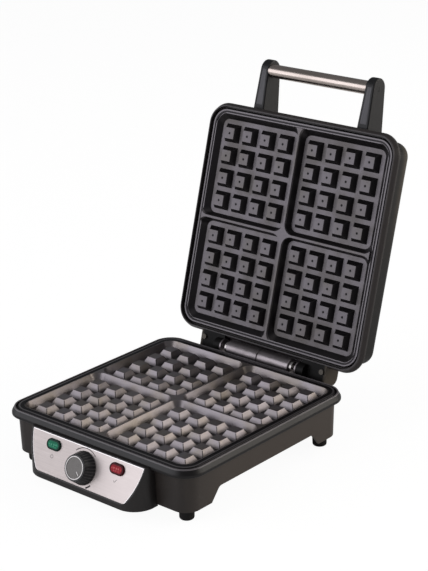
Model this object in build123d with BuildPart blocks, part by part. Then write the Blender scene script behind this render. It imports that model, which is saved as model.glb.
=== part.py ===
from build123d import *
import os
from math import acos, atan2, cos, degrees, radians, sin, tan

# Waffle maker with a square four-quarter plate pair, modelled with its lid open.
# Origin: centre of the plates on the surface it stands on. +Z up, the controls face -Y,
# the hinge runs along X behind the base. Millimetres.

# Base
parting_height = 65.0
leg_bottom = 13.4
base_room = 36.6
leg_foot_inner = 89.0
leg_top_inner = 77.0
leg_front_return = 9.0
arch_round = 7.0
leg_web = 2.6
seat_gap = 0.15
fit_gap = 0.3

# Hinge
hinge_y = 143.9
open_angle = 105.8
rod_radius = 3.0
running_clearance = 0.06
sleeve_radius = 9.6
sleeve_reach = 45.4
sleeve_seam = 0.6
collar_gap = 0.2
collar_radius = 7.4
collar_length = 3.6
ear_room = 5.1
ear_thickness = 2.0
ear_radius = 8.8
ear_foot_width = 18.0
ear_foot_height = 21.0
ear_foot_y = 129.8
lug_room = 0.7
lug_width = 35.0
lug_back = 155.0
lug_top = 25.0
lug_round = 9.0
lug_wall = 2.5
nose_radius = 8.2
nose_length = 9.0
lug_screw_x = 86.6
lug_screw_y = 139.6
lug_screw_level = 14.0
lug_boss_depth = 12.0

# Cooking plates: four recesses with four by four tapered studs in each
stud_pitch = 26.4
studs_per_row = 4
stud_top = 12.7
stud_foot = 21.1
stud_rise = 7.2
cavity_depth = 8.4
cavity_corner = 12.0
divider_crest = 2.5
divider_short = 0.4
inner_wall_run = 3.9
upper_wall_run = 9.5
crest_gap = 0.2
plate_floor = 3.0
tray_wall = 4.2
plate_corner = 20.0
rim_width = 8.6
rim_round = 1.6
rim_groove = 0.9
lower_groove_place = 6.4
upper_groove_place = 4.2
upper_rim_drop = 2.8
lower_seat_depth = 5.0
upper_seat_depth = 6.6
boss_place = 98.0
boss_radius = 5.0
boss_height = 9.0

# Housings
wall = 2.5
plate_gap = 1.8
flange_width = 4.1
flange_corner = 25.0
flange_depth = 9.0
flange_start = 0.5
bead_lean = 3.0
bead_depth = 5.5
bead_round = 2.4
underside_round = 1.2
body_inset = 7.2
body_corner = 18.0
shelf_width = 7.0
shelf_thickness = 1.6
base_draft = 1.7
lid_draft = 3.5
lid_depth = 45.0
crown_round = 12.0

# Bottom cover, feet and fasteners
cover_thickness = 2.0
cover_screw_place = 96.0
cover_boss_radius = 4.0
cover_boss_height = 8.0
vent_count = 9
vent_pitch = 8.0
vent_length = 60.0
vent_width = 3.2
foot_place = 110.5
foot_radius = 8.4
foot_taper = 0.6
foot_round = 2.4
foot_stem_radius = 3.0
foot_stem_length = 7.0
screw_radius = 1.5
screw_head_radius = 3.0
screw_head_height = 1.8
screw_length = 9.0
short_screw_length = 6.5

# Heating elements and reflectors
element_radius = 3.2
element_reach = 80.0
element_corner = 22.0
terminal_gap = 26.0
terminal_drop = 13.0
clip_width = 12.0
clip_thickness = 1.0
clip_foot = 6.0
clip_place = 34.0
reflector_gauge = 0.8
reflector_tab = 24.0
cutout_radius = 8.0
cutout_height = 5.0
block_width = 44.0
block_depth = 14.0
block_height = 10.0
block_y = 98.0
inlet_radius = 6.0

# Control box on the front
box_side = 3.1
box_front = 1.1
box_corner = 25.0
box_bottom = 10.2
box_edge_round = 1.2
fascia_top_y = -139.1
fascia_drop = 7.8
fascia_bottom_y = -154.4
fascia_bottom_z = 18.0
fascia_top_half = 80.4
fascia_bottom_half = 64.0
fascia_bulge = 3.0
fascia_gauge = 1.0
fascia_corner = 6.0
bezel_stand = 0.6
bezel_top = 1.4
box_wall = 2.4
wire_window_width = 90.0
wire_window_height = 12.0
lamp_inset = 34.4
lamp_below_top = 10.1
lamp_length = 20.0
lamp_height = 12.0
lens_flange = 1.4
lens_stand = 2.0
neon_radius = 3.0
neon_length = 9.0

# Control knob and thermostat
knob_below_top = 22.2
knob_foot_radius = 18.0
knob_face_radius = 13.9
knob_length = 12.2
knob_lift = 0.8
knob_wall = 2.2
knob_floor = 3.4
knob_flutes = 30
flute_radius = 0.8
cap_radius = 11.0
cap_thickness = 1.2
ring_width = 1.5
pointer_length = 5.0
pointer_width = 1.4
pointer_angle = -42.0
shaft_radius = 3.0
bush_radius = 4.6
bush_stand = 2.9
nut_size = 6.5
nut_thickness = 1.8
thermostat_width = 34.0
thermostat_height = 20.0
thermostat_depth = 10.0

# Handle on the lid
arm_root_inner = 66.0
arm_root_outer = 82.2
arm_tip_inner = 69.0
arm_tip_outer = 80.2
bar_socket = 69.8
arm_root_top = 45.0
arm_tip_y = -180.5
arm_tip_height = 25.6
arm_tip_radius = 11.4
arm_edge_round = 1.8
arm_screw_low = 25.2
arm_screw_high = 32.2
bar_radius = 7.8
bar_wall = 1.2
bar_y = -179.3
bar_height = 22.4
tie_radius = 2.5
plug_depth = 1.6
strip_inset = 3.0
strip_depth = 1.4
strip_start_y = -139.0

# Worked-out sizes
stud_taper = degrees(atan2((stud_foot - stud_top) / 2, stud_rise))
channel = stud_pitch - stud_foot
cavity_floor = studs_per_row * stud_pitch + channel
cavity_top = cavity_floor + 2 * inner_wall_run
quarter = (cavity_top + divider_crest) / 2
plate_reach = quarter + cavity_top / 2 + rim_width
well_reach = plate_reach + plate_gap
flange_reach = well_reach + flange_width
flange_end = flange_start + flange_depth
body_reach = flange_reach - body_inset
tray_reach = quarter + cavity_floor / 2 + tray_wall
shelf_reach = plate_reach - shelf_width
plate_back = crest_gap + cavity_depth + plate_floor
boss_end = plate_back + boss_height
reflector_back = boss_end + 0.15 + reflector_gauge
base_depth = parting_height - leg_bottom
arch_height = parting_height - base_room
arch_depth = parting_height - arch_height
opening = radians(open_angle)
base_lean = tan(radians(base_draft))
lid_lean = tan(radians(lid_draft))
screw_hole = screw_radius + 0.1
collar_start = sleeve_reach + collar_gap
ear_inner = collar_start + collar_length + ear_room
lug_inner = ear_inner + ear_thickness + lug_room
rod_reach = lug_inner + nose_length - 1.5
window_height = (arch_height + parting_height - flange_end) / 2
inlet_height = window_height - 1.0
cover_level = arch_height + 0.2
block_level = cover_level + cover_thickness + 0.1

# Plate planes: +Z points from the parting plane into the housing. Side planes: (y from hinge, height)
base_parting = Plane(origin=(0, 0, parting_height), x_dir=(1, 0, 0), z_dir=(0, 0, -1))
hinge_point = Vector(0, hinge_y, parting_height)
lid_normal = Vector(0, sin(opening), cos(opening))
lid_back = Vector(0, cos(opening), -sin(opening))
lid_parting = Plane(origin=hinge_point - lid_back * hinge_y, x_dir=(1, 0, 0), z_dir=lid_normal)
lid_side = Plane(origin=hinge_point, x_dir=lid_back, z_dir=(1, 0, 0))
lid_far_side = Plane(origin=hinge_point, x_dir=lid_back, z_dir=(-1, 0, 0))
base_side = Plane(origin=hinge_point, x_dir=(0, 1, 0), z_dir=(1, 0, 0))
lid_front_inside = Plane(
    origin=lid_parting.from_local_coords(Vector(0, wall - body_reach, 0)), x_dir=(1, 0, 0), z_dir=lid_back,
)
lid_rear_inside = Plane(
    origin=lid_parting.from_local_coords(Vector(0, body_reach - wall, 0)), x_dir=(1, 0, 0), z_dir=-lid_back,
)
front_wall = Plane(origin=(0, -body_reach, 0), x_dir=(1, 0, 0), z_dir=(0, -1, 0))
rear_wall = Plane(origin=(0, body_reach, 0), x_dir=(-1, 0, 0), z_dir=(0, 1, 0))

# Fascia plane: +X right, +Y up the slope, +Z out of the panel
fascia_top_z = parting_height - fascia_drop
fascia_rise = fascia_top_z - fascia_bottom_z
fascia_run = fascia_top_y - fascia_bottom_y
fascia_tilt = atan2(fascia_run, fascia_rise)
fascia_slope = (fascia_rise**2 + fascia_run**2) ** 0.5
fascia_plane = Plane(
    origin=(0, (fascia_top_y + fascia_bottom_y) / 2, (fascia_top_z + fascia_bottom_z) / 2),
    x_dir=(1, 0, 0),
    z_dir=(0, -cos(fascia_tilt), sin(fascia_tilt)),
)
fascia_out = Axis(fascia_plane.origin, fascia_plane.z_dir)
knob_rise = fascia_slope / 2 - knob_below_top
lamp_rise = fascia_slope / 2 - lamp_below_top
lamp_place = fascia_top_half - lamp_inset
panel_back = -(fascia_gauge + box_wall)
knob_plane = fascia_plane.offset(knob_lift)
knob_top = knob_lift + knob_length

# Screw places, each in the plane of its own wall
bracket_top = parting_height - flange_end - 2.0
bracket_x = ear_inner - ear_foot_width / 2
bracket_low = bracket_top - 0.72 * ear_foot_height
bracket_high = bracket_top - 0.28 * ear_foot_height
bracket_places = [(x, z) for x in (-bracket_x, bracket_x) for z in (bracket_low, bracket_high)]
arm_screw_x = (arm_root_inner + arm_root_outer) / 2
arm_places = [(x, h) for x in (-arm_screw_x, arm_screw_x) for h in (arm_screw_low, arm_screw_high)]
lug_fix_x = lug_inner + 0.55 * lug_width
lug_places = [(-lug_fix_x, lug_screw_level), (lug_fix_x, lug_screw_level)]


def flipped(plane):
    return Plane(origin=plane.origin, x_dir=plane.x_dir, z_dir=-plane.z_dir)


def corner_places(place):
    return [(-place, -place), (-place, place), (place, -place), (place, place)]


# One plate of the pair, cast with its studs, its rim and the bosses on its back
def cooking_plate(parting, outer_run, rim_drop, seat_depth, groove_place):
    face = parting.offset(crest_gap)
    rim_face = face.offset(rim_drop)
    extra = outer_run - inner_wall_run
    with BuildPart() as plate:
        with BuildSketch(rim_face):
            RectangleRounded(2 * plate_reach, 2 * plate_reach, plate_corner)
        extrude(amount=seat_depth - crest_gap - rim_drop)
        fillet(plate.edges().group_by(Axis(parting.origin, parting.z_dir))[0], rim_round)
        groove_reach = plate_reach - groove_place
        groove_corner = plate_corner - groove_place / 2
        with BuildSketch(rim_face):
            RectangleRounded(2 * groove_reach, 2 * groove_reach, groove_corner)
            RectangleRounded(
                2 * (groove_reach - rim_groove), 2 * (groove_reach - rim_groove),
                groove_corner - rim_groove, mode=Mode.SUBTRACT,
            )
        extrude(amount=rim_groove, mode=Mode.SUBTRACT)
        inside = quarter + cavity_floor / 2 + outer_run * (1 - rim_drop / cavity_depth) - divider_short
        with BuildSketch(face):
            RectangleRounded(2 * inside, 2 * inside, cavity_corner)
        extrude(amount=seat_depth - crest_gap)
        with BuildSketch(parting.offset(seat_depth - 1.0)):
            RectangleRounded(2 * tray_reach, 2 * tray_reach, cavity_corner)
        extrude(amount=plate_back - seat_depth + 1.0)
        for side_x in (-1, 1):
            for side_y in (-1, 1):
                with BuildSketch(face.offset(cavity_depth)):
                    with Locations((side_x * quarter, side_y * quarter)):
                        RectangleRounded(cavity_floor, cavity_floor, cavity_corner - inner_wall_run)
                with BuildSketch(face):
                    with Locations((side_x * (quarter + extra / 2), side_y * (quarter + extra / 2))):
                        RectangleRounded(cavity_top + extra, cavity_top + extra, cavity_corner)
                loft(mode=Mode.SUBTRACT)
        with BuildSketch(flipped(face.offset(cavity_depth))):
            with GridLocations(2 * quarter, 2 * quarter, 2, 2):
                with GridLocations(stud_pitch, stud_pitch, studs_per_row, studs_per_row):
                    Rectangle(stud_foot, stud_foot)
        extrude(amount=stud_rise, taper=stud_taper)
        with BuildSketch(parting.offset(plate_back)):
            with GridLocations(2 * boss_place, 2 * boss_place, 2, 2):
                Circle(boss_radius)
        extrude(amount=boss_height)
        with BuildSketch(parting.offset(boss_end)):
            with GridLocations(2 * boss_place, 2 * boss_place, 2, 2):
                Circle(screw_hole)
        extrude(amount=-boss_height, mode=Mode.SUBTRACT)
    return plate.part


# Outside of a housing: leaning flange, drafted body, rounded crown. Grown a little it cuts seats.
def outer_form(parting, depth, draft, crown, grow):
    along = Axis(parting.origin, parting.z_dir)
    bead_level = parting.offset(flange_start + bead_depth)
    reach = flange_reach + grow
    with BuildPart() as form:
        with BuildSketch(flipped(bead_level)):
            RectangleRounded(2 * reach, 2 * reach, flange_corner)
        extrude(amount=bead_depth + grow, taper=degrees(atan2(bead_lean, bead_depth)))
        with BuildSketch(bead_level):
            RectangleRounded(2 * reach, 2 * reach, flange_corner)
        extrude(amount=flange_depth - bead_depth + grow)
        fillet(form.edges().group_by(along)[2], bead_round)
        fillet(form.edges().group_by(along)[-1], underside_round)
        with BuildSketch(parting.offset(flange_end)):
            RectangleRounded(2 * (body_reach + grow), 2 * (body_reach + grow), body_corner)
        extrude(amount=depth + grow - flange_end, taper=draft)
        if crown > 0:
            fillet(form.edges().group_by(along)[-1], crown)
    return form.part


# The space inside a housing: well for the plate rim, shelf opening, drafted hollow
def inner_form(parting, seat_depth, depth, draft, crown):
    hollow_start = seat_depth + shelf_thickness
    with BuildPart() as space:
        with BuildSketch(parting.offset(hollow_start)):
            RectangleRounded(2 * (body_reach - wall), 2 * (body_reach - wall), body_corner - wall)
        extrude(amount=depth - hollow_start, taper=draft)
        if crown > 0:
            fillet(space.edges().group_by(Axis(parting.origin, parting.z_dir))[-1], crown)
        with BuildSketch(parting):
            RectangleRounded(2 * well_reach, 2 * well_reach, plate_corner + plate_gap)
        extrude(amount=seat_depth + 0.1)
        with BuildSketch(parting):
            RectangleRounded(2 * shelf_reach, 2 * shelf_reach, body_corner - wall)
        extrude(amount=hollow_start + 1.0)
    return space.part


# Tubular heating element: a loop against the plate with its two ends turned away from it
def heating_element(parting, side):
    level = parting.offset(plate_back + element_radius + 0.1)
    near = side * element_reach
    half_gap = terminal_gap / 2
    corners = [
        (-half_gap, near), (-element_reach, near), (-element_reach, -near),
        (element_reach, -near), (element_reach, near), (half_gap, near),
    ]
    points = [level.from_local_coords(Vector(x, y, 0)) for x, y in corners]
    with BuildPart() as element:
        with BuildLine() as path:
            FilletPolyline(*points, radius=element_corner)
        with BuildSketch(Plane(origin=path.line @ 0, z_dir=path.line % 0)):
            Circle(element_radius)
        sweep(path=path.line)
        with BuildSketch(level):
            with Locations((-half_gap, near), (half_gap, near)):
                Circle(element_radius)
        extrude(amount=terminal_drop)
        with Locations(points[0], points[-1]):
            Sphere(element_radius)
    return element.part


# Straps that hold the element against the back of the plate
def element_clips(parting):
    drop = -(element_radius + 0.1)
    ring = element_radius + 0.1 + clip_thickness
    foot_y = -(0.1 + clip_thickness / 2)
    with BuildPart() as clips:
        for place in (-clip_place, clip_place):
            across = Plane(
                origin=parting.from_local_coords(Vector(0, place - clip_width / 2, plate_back)),
                x_dir=parting.x_dir,
                z_dir=parting.y_dir,
            )
            for x in (-element_reach, element_reach):
                with BuildSketch(across):
                    with Locations((x, drop)):
                        Circle(ring)
                    with Locations((x, drop / 2)):
                        Rectangle(2 * ring, -drop)
                    with Locations((x, foot_y)):
                        Rectangle(2 * (ring + clip_foot), clip_thickness)
                    with Locations((x, drop)):
                        Circle(element_radius + 0.1, mode=Mode.SUBTRACT)
                    with Locations((x, drop / 2)):
                        Rectangle(2 * element_radius + 0.2, -drop, mode=Mode.SUBTRACT)
                    with Locations((x, 1.9)):
                        Rectangle(8 * ring, 4, mode=Mode.SUBTRACT)
                extrude(amount=clip_width)
    return clips.part


# Sheet reflector behind a plate; its tabs hook under the shelf of the housing
def reflector(parting, seat_depth, side):
    reach = tray_reach + fit_gap + reflector_gauge
    corner = cavity_corner + fit_gap + reflector_gauge
    top = seat_depth + shelf_thickness + fit_gap
    tab_reach = body_reach - wall - 4 * fit_gap
    with BuildPart() as dish:
        with BuildSketch(parting.offset(top)):
            RectangleRounded(2 * reach, 2 * reach, corner)
        extrude(amount=reflector_back - 0.05 - top)
        with BuildSketch(parting.offset(top)):
            RectangleRounded(
                2 * (reach - reflector_gauge), 2 * (reach - reflector_gauge), corner - reflector_gauge,
            )
        extrude(amount=boss_end + 0.1 - top, mode=Mode.SUBTRACT)
        with BuildSketch(parting.offset(top)):
            Rectangle(2 * tab_reach, reflector_tab)
            Rectangle(reflector_tab, 2 * tab_reach)
            Rectangle(2 * reach - 0.4, 2 * reach - 0.4, mode=Mode.SUBTRACT)
        extrude(amount=reflector_gauge)
        with BuildSketch(parting.offset(boss_end)):
            with GridLocations(2 * boss_place, 2 * boss_place, 2, 2):
                Circle(screw_hole)
            near = side * element_reach
            with Locations((-terminal_gap / 2, near), (terminal_gap / 2, near)):
                Circle(element_radius + 0.8)
        extrude(amount=3 * reflector_gauge, mode=Mode.SUBTRACT)
    return dish.part


# Pan-head screws: the head stands on the plane given, the shank goes through it
def screws(plane, places, length):
    with BuildPart() as fasteners:
        with BuildSketch(plane):
            with Locations(*places):
                Circle(screw_head_radius)
        extrude(amount=screw_head_height)
        with BuildSketch(plane):
            with Locations(*places):
                Circle(screw_radius)
        extrude(amount=-length)
    return fasteners.part


# Panel outline of the control box with bowed sides
def panel_outline(plane, top_half, bottom_half, top, bottom, bulge, corner):
    middle = (top + bottom) / 2
    half = (top_half + bottom_half) / 2 + bulge
    with BuildSketch(plane) as outline:
        with BuildLine():
            top_edge = Line((-top_half, top), (top_half, top))
            right_edge = ThreePointArc(top_edge @ 1, (half, middle), (bottom_half, bottom))
            bottom_edge = Line(right_edge @ 1, (-bottom_half, bottom))
            ThreePointArc(bottom_edge @ 1, (-half, middle), top_edge @ 0)
        make_face()
        fillet(outline.vertices().group_by(Axis.Y)[0], corner)
    return outline.sketch


# Body of the control box, smaller all round by the inset, up to a level over the sloping panel
def box_form(inset, into_wall, level):
    half = fascia_top_half + box_side - inset
    front = fascia_bottom_y - box_front + inset
    back = into_wall - body_reach
    with BuildPart() as form:
        with BuildSketch(Plane.XY.offset(box_bottom + inset)) as plan:
            with Locations((0, front)):
                Rectangle(2 * half, back - front, align=(Align.CENTER, Align.MIN))
            fillet(plan.vertices().group_by(Axis.Y)[0], box_corner - inset)
        extrude(amount=fascia_top_z + bezel_top * cos(fascia_tilt) - box_bottom - 2 * inset)
        with BuildSketch(fascia_plane.offset(level)):
            Rectangle(4 * half, 4 * fascia_slope)
        extrude(amount=2 * fascia_slope, mode=Mode.SUBTRACT)
        if inset == 0:
            low_edges = form.edges().group_by(Axis.Z)[0]
            fillet(low_edges.filter_by(lambda edge: edge.center().Y < -body_reach), box_edge_round)
    return form.part


# Lamp lens pushed in from behind and held by its flange
def lamp_lens(place):
    with BuildPart() as lens:
        with BuildSketch(fascia_plane.offset(panel_back - 0.1)):
            with Locations((place, lamp_rise)):
                SlotOverall(lamp_length, lamp_height)
        extrude(amount=lens_stand - panel_back + 0.1)
        fillet(lens.edges().group_by(fascia_out)[-1], 1.0)
        with BuildSketch(fascia_plane.offset(panel_back - 0.1)):
            with Locations((place, lamp_rise)):
                SlotOverall(lamp_length + 2 * lens_flange, lamp_height + 2 * lens_flange)
        extrude(amount=-lens_flange)
        with BuildSketch(fascia_plane):
            with Locations((place, lamp_rise)):
                Circle(neon_radius + 0.1)
        extrude(amount=2 * panel_back, mode=Mode.SUBTRACT)
    return lens.part


# Hinge lug on the rear of the lid: hollow block with a round nose that turns on the rod
def hinge_lug(side):
    back = lug_back - hinge_y
    front = body_reach - 3 - hinge_y
    hollow = lug_inner + nose_length + 0.6
    hollow_length = lug_width - nose_length - 0.6 - lug_wall
    plane = lid_side if side > 0 else lid_far_side
    turn = 1 if side > 0 else -1
    with BuildPart() as lug:
        with BuildSketch(plane.offset(lug_inner)) as block:
            with Locations(((front + back) / 2, turn * (flange_start + lug_top) / 2)):
                Rectangle(back - front, lug_top - flange_start)
            fillet(sorted(block.vertices(), key=lambda v: v.X + turn * v.Y)[-1], lug_round)
        extrude(amount=lug_width)
        with BuildSketch(plane.offset(lug_inner)):
            Circle(nose_radius)
        extrude(amount=nose_length)
        with BuildSketch(plane.offset(hollow)) as space:
            with Locations(((front + back) / 2 - lug_wall, turn * (flange_start + lug_top) / 2)):
                Rectangle(back - front, lug_top - flange_start - 2 * lug_wall)
            fillet(sorted(space.vertices(), key=lambda v: v.X + turn * v.Y)[-1], lug_round - lug_wall)
        extrude(amount=hollow_length, mode=Mode.SUBTRACT)
        with BuildSketch(lid_parting.offset(flange_start)):
            with Locations((side * lug_screw_x, lug_screw_y)):
                Circle(screw_head_radius)
        extrude(amount=lug_boss_depth)
        with BuildSketch(lid_parting.offset(flange_start)):
            with Locations((side * lug_screw_x, lug_screw_y)):
                Circle(screw_hole)
        extrude(amount=lug_boss_depth - 1.0, mode=Mode.SUBTRACT)
        with BuildSketch(lid_rear_inside):
            with Locations((side * lug_fix_x, lug_places[0][1])):
                Circle(screw_head_radius)
        extrude(amount=body_reach - lug_back)
        with BuildSketch(lid_rear_inside):
            with Locations((side * lug_fix_x, lug_places[0][1])):
                Circle(screw_hole)
        extrude(amount=-2 * screw_length, mode=Mode.SUBTRACT)
        with BuildSketch(plane.offset(lug_inner - 1)):
            Circle(rod_radius + running_clearance)
        extrude(amount=rod_reach + fit_gap - lug_inner + 1, mode=Mode.SUBTRACT)
        add(outer_form(lid_parting, lid_depth, lid_draft, crown_round, seat_gap), mode=Mode.SUBTRACT)
    return lug.part


def strip_points(side, inset):
    inner_root = arm_root_inner + strip_inset + inset + 0.6
    outer_root = arm_root_outer - strip_inset - inset - 0.5
    inner_tip = arm_tip_inner + strip_inset + inset - 0.4
    outer_tip = arm_tip_outer - strip_inset - inset + 0.3
    return [
        (side * inner_root, strip_start_y - inset), (side * inner_tip, arm_tip_y + inset),
        (side * outer_tip, arm_tip_y + inset), (side * outer_root, strip_start_y - inset),
    ]


# Handle arm: tapered in plan, round at its tip, seated on the front of the lid
def handle_arm(side):
    root_y = -(body_reach - 8)
    far_y = arm_tip_y - arm_tip_radius
    low = arm_tip_height - arm_tip_radius
    head_start = arm_tip_outer - plug_depth - screw_head_height - 0.4
    plane = lid_side if side > 0 else lid_far_side
    turn = 1 if side > 0 else -1
    # The upper edge leaves the round tip as a tangent and runs to the shoulder
    tip_x = arm_tip_y - hinge_y
    shoulder_x = root_y - hinge_y - 6
    reach_x = shoulder_x - tip_x
    reach_h = arm_root_top - arm_tip_height
    touch = atan2(reach_h, reach_x) + acos(arm_tip_radius / (reach_x**2 + reach_h**2) ** 0.5)
    touch_x = tip_x + arm_tip_radius * cos(touch)
    touch_h = arm_tip_height + arm_tip_radius * sin(touch)
    with BuildPart() as arm:
        with BuildSketch(lid_parting):
            with BuildLine():
                Polyline(
                    (side * arm_root_inner, root_y), (side * arm_tip_inner, far_y),
                    (side * arm_tip_outer, far_y), (side * arm_root_outer, root_y), close=True,
                )
            make_face()
        extrude(amount=2 * lid_depth)
        with BuildSketch(plane):
            with BuildLine():
                under = Line((root_y - hinge_y, turn * low), (tip_x, turn * low))
                nose = ThreePointArc(
                    under @ 1, (tip_x - arm_tip_radius, turn * arm_tip_height), (touch_x, turn * touch_h),
                )
                Polyline(nose @ 1, (shoulder_x, turn * arm_root_top),
                         (root_y - hinge_y, turn * arm_root_top), under @ 0)
            make_face()
        extrude(amount=arm_root_outer + 5, mode=Mode.INTERSECT)
        rounded = []
        for edge in arm.edges():
            middle = lid_parting.to_local_coords(edge.center())
            if middle.Y < root_y - 2 and abs((edge % 0.5).X) < 0.5:
                rounded.append(edge)
        fillet(rounded, arm_edge_round)
        add(outer_form(lid_parting, lid_depth, lid_draft, crown_round, seat_gap), mode=Mode.SUBTRACT)
        with BuildSketch(lid_parting.offset(low)):
            with BuildLine():
                Polyline(*strip_points(side, 0), close=True)
            make_face()
        extrude(amount=strip_depth, mode=Mode.SUBTRACT)
        with BuildSketch(plane):
            with Locations((bar_y - hinge_y, turn * bar_height)):
                Circle(tie_radius + 0.1)
        extrude(amount=arm_root_outer + 5, mode=Mode.SUBTRACT)
        with BuildSketch(plane.offset(head_start)):
            with Locations((bar_y - hinge_y, turn * bar_height)):
                Circle(screw_head_radius + 0.4)
        extrude(amount=arm_root_outer - arm_tip_inner, mode=Mode.SUBTRACT)
        with BuildSketch(plane.offset(bar_socket)):
            with Locations((bar_y - hinge_y, turn * bar_height)):
                Circle(bar_radius + seat_gap)
        extrude(amount=-bar_radius, mode=Mode.SUBTRACT)
        with BuildSketch(lid_front_inside):
            with Locations(*[(x, -h) for x, h in arm_places if x * side > 0]):
                Circle(screw_hole)
        extrude(amount=-2 * screw_length, mode=Mode.SUBTRACT)
    return arm.part


os.makedirs("parts", exist_ok=True)

# Base housing with hollow corner legs
with BuildPart() as base_housing:
    add(outer_form(base_parting, base_depth, base_draft, 0, 0))
    add(inner_form(base_parting, lower_seat_depth, arch_depth, base_draft, 0), mode=Mode.SUBTRACT)
    for through, less in ((Plane.XZ, leg_front_return), (Plane.YZ, 0)):
        foot_inner = leg_foot_inner - less
        top_inner = leg_top_inner - less
        with BuildSketch(through) as arch:
            with BuildLine():
                Polyline(
                    (-foot_inner, 0), (-foot_inner, leg_bottom), (-top_inner, arch_height),
                    (top_inner, arch_height), (foot_inner, leg_bottom), (foot_inner, 0),
                    close=True,
                )
            make_face()
            fillet(arch.vertices().group_by(Axis.Y)[-1], arch_round)
        extrude(amount=2 * flange_reach, both=True, mode=Mode.SUBTRACT)
    bottom_reach = body_reach - wall - (base_depth - flange_end) * base_lean
    with BuildSketch(Plane.XY.offset(leg_bottom)):
        RectangleRounded(2 * bottom_reach, 2 * bottom_reach, body_corner - wall)
    extrude(amount=arch_height - leg_bottom - leg_web, mode=Mode.SUBTRACT)
    with BuildSketch(Plane.XY.offset(leg_bottom)):
        with GridLocations(2 * foot_place, 2 * foot_place, 2, 2):
            Circle(foot_radius)
            Circle(foot_stem_radius + 0.1, mode=Mode.SUBTRACT)
    extrude(amount=arch_height - leg_bottom - leg_web / 2)
    with BuildSketch(Plane.XY.offset(arch_height)):
        with GridLocations(2 * cover_screw_place, 2 * cover_screw_place, 2, 2):
            Circle(screw_hole)
    extrude(amount=-2 * leg_web, mode=Mode.SUBTRACT)
    with BuildSketch(front_wall.offset(-2 * wall)):
        with Locations((0, window_height)):
            RectangleRounded(wire_window_width, wire_window_height, 3.0)
    extrude(amount=3 * wall, mode=Mode.SUBTRACT)
    with BuildSketch(rear_wall.offset(-2 * wall)):
        with Locations((0, inlet_height)):
            Circle(inlet_radius)
        with Locations(*bracket_places):
            Circle(screw_hole)
    extrude(amount=3 * wall, mode=Mode.SUBTRACT)
base_housing.part.label = "base_housing"
export_step(base_housing.part, "parts/base_housing.step")

with BuildPart() as lower_plate:
    add(cooking_plate(base_parting, inner_wall_run, 0, lower_seat_depth, lower_groove_place))
lower_plate.part.label = "lower_plate"
export_step(lower_plate.part, "parts/lower_plate.step")

with BuildPart() as lower_heating_element:
    add(heating_element(base_parting, 1))
lower_heating_element.part.label = "lower_heating_element"
export_step(lower_heating_element.part, "parts/lower_heating_element.step")

with BuildPart() as lower_element_clips:
    add(element_clips(base_parting))
lower_element_clips.part.label = "lower_element_clips"
export_step(lower_element_clips.part, "parts/lower_element_clips.step")

with BuildPart() as lower_reflector:
    add(reflector(base_parting, lower_seat_depth, 1))
lower_reflector.part.label = "lower_reflector"
export_step(lower_reflector.part, "parts/lower_reflector.step")

with BuildPart() as lower_plate_screws:
    add(screws(base_parting.offset(reflector_back), corner_places(boss_place), boss_height - 1.0))
lower_plate_screws.part.label = "lower_plate_screws"
export_step(lower_plate_screws.part, "parts/lower_plate_screws.step")

# Bottom cover with ventilation slots and screw bosses
with BuildPart() as bottom_cover:
    cover_reach = body_reach - wall - (arch_depth - flange_end) * base_lean - fit_gap
    with BuildSketch(Plane.XY.offset(cover_level)):
        RectangleRounded(2 * cover_reach, 2 * cover_reach, body_corner - wall)
        with GridLocations(vent_pitch, 0, vent_count, 1):
            SlotOverall(vent_length, vent_width, rotation=90, mode=Mode.SUBTRACT)
    extrude(amount=cover_thickness)
    with BuildSketch(Plane.XY.offset(cover_level)):
        with GridLocations(2 * cover_screw_place, 2 * cover_screw_place, 2, 2):
            Circle(cover_boss_radius)
    extrude(amount=cover_thickness + cover_boss_height)
    with BuildSketch(Plane.XY.offset(cover_level)):
        with GridLocations(2 * cover_screw_place, 2 * cover_screw_place, 2, 2):
            Circle(screw_hole)
    extrude(amount=cover_thickness + cover_boss_height, mode=Mode.SUBTRACT)
bottom_cover.part.label = "bottom_cover"
export_step(bottom_cover.part, "parts/bottom_cover.step")

cover_screw_face = flipped(Plane.XY.offset(arch_height - leg_web - 0.05))
with BuildPart() as cover_screws:
    add(screws(cover_screw_face, corner_places(cover_screw_place), screw_length))
cover_screws.part.label = "cover_screws"
export_step(cover_screws.part, "parts/cover_screws.step")

with BuildPart() as rubber_feet:
    foot_top = leg_bottom - 0.1
    for x, y in corner_places(foot_place):
        with BuildSketch(Plane.XY.offset(foot_top)):
            with Locations((x, y)):
                Circle(foot_radius)
        with BuildSketch(Plane.XY):
            with Locations((x, y)):
                Circle(foot_radius - foot_taper)
        loft()
    fillet(rubber_feet.edges().group_by(Axis.Z)[0], foot_round)
    for x, y in corner_places(foot_place):
        with BuildSketch(Plane.XY.offset(foot_top)):
            with Locations((x, y)):
                Circle(foot_stem_radius)
        extrude(amount=foot_stem_length)
rubber_feet.part.label = "rubber_feet"
export_step(rubber_feet.part, "parts/rubber_feet.step")

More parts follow.
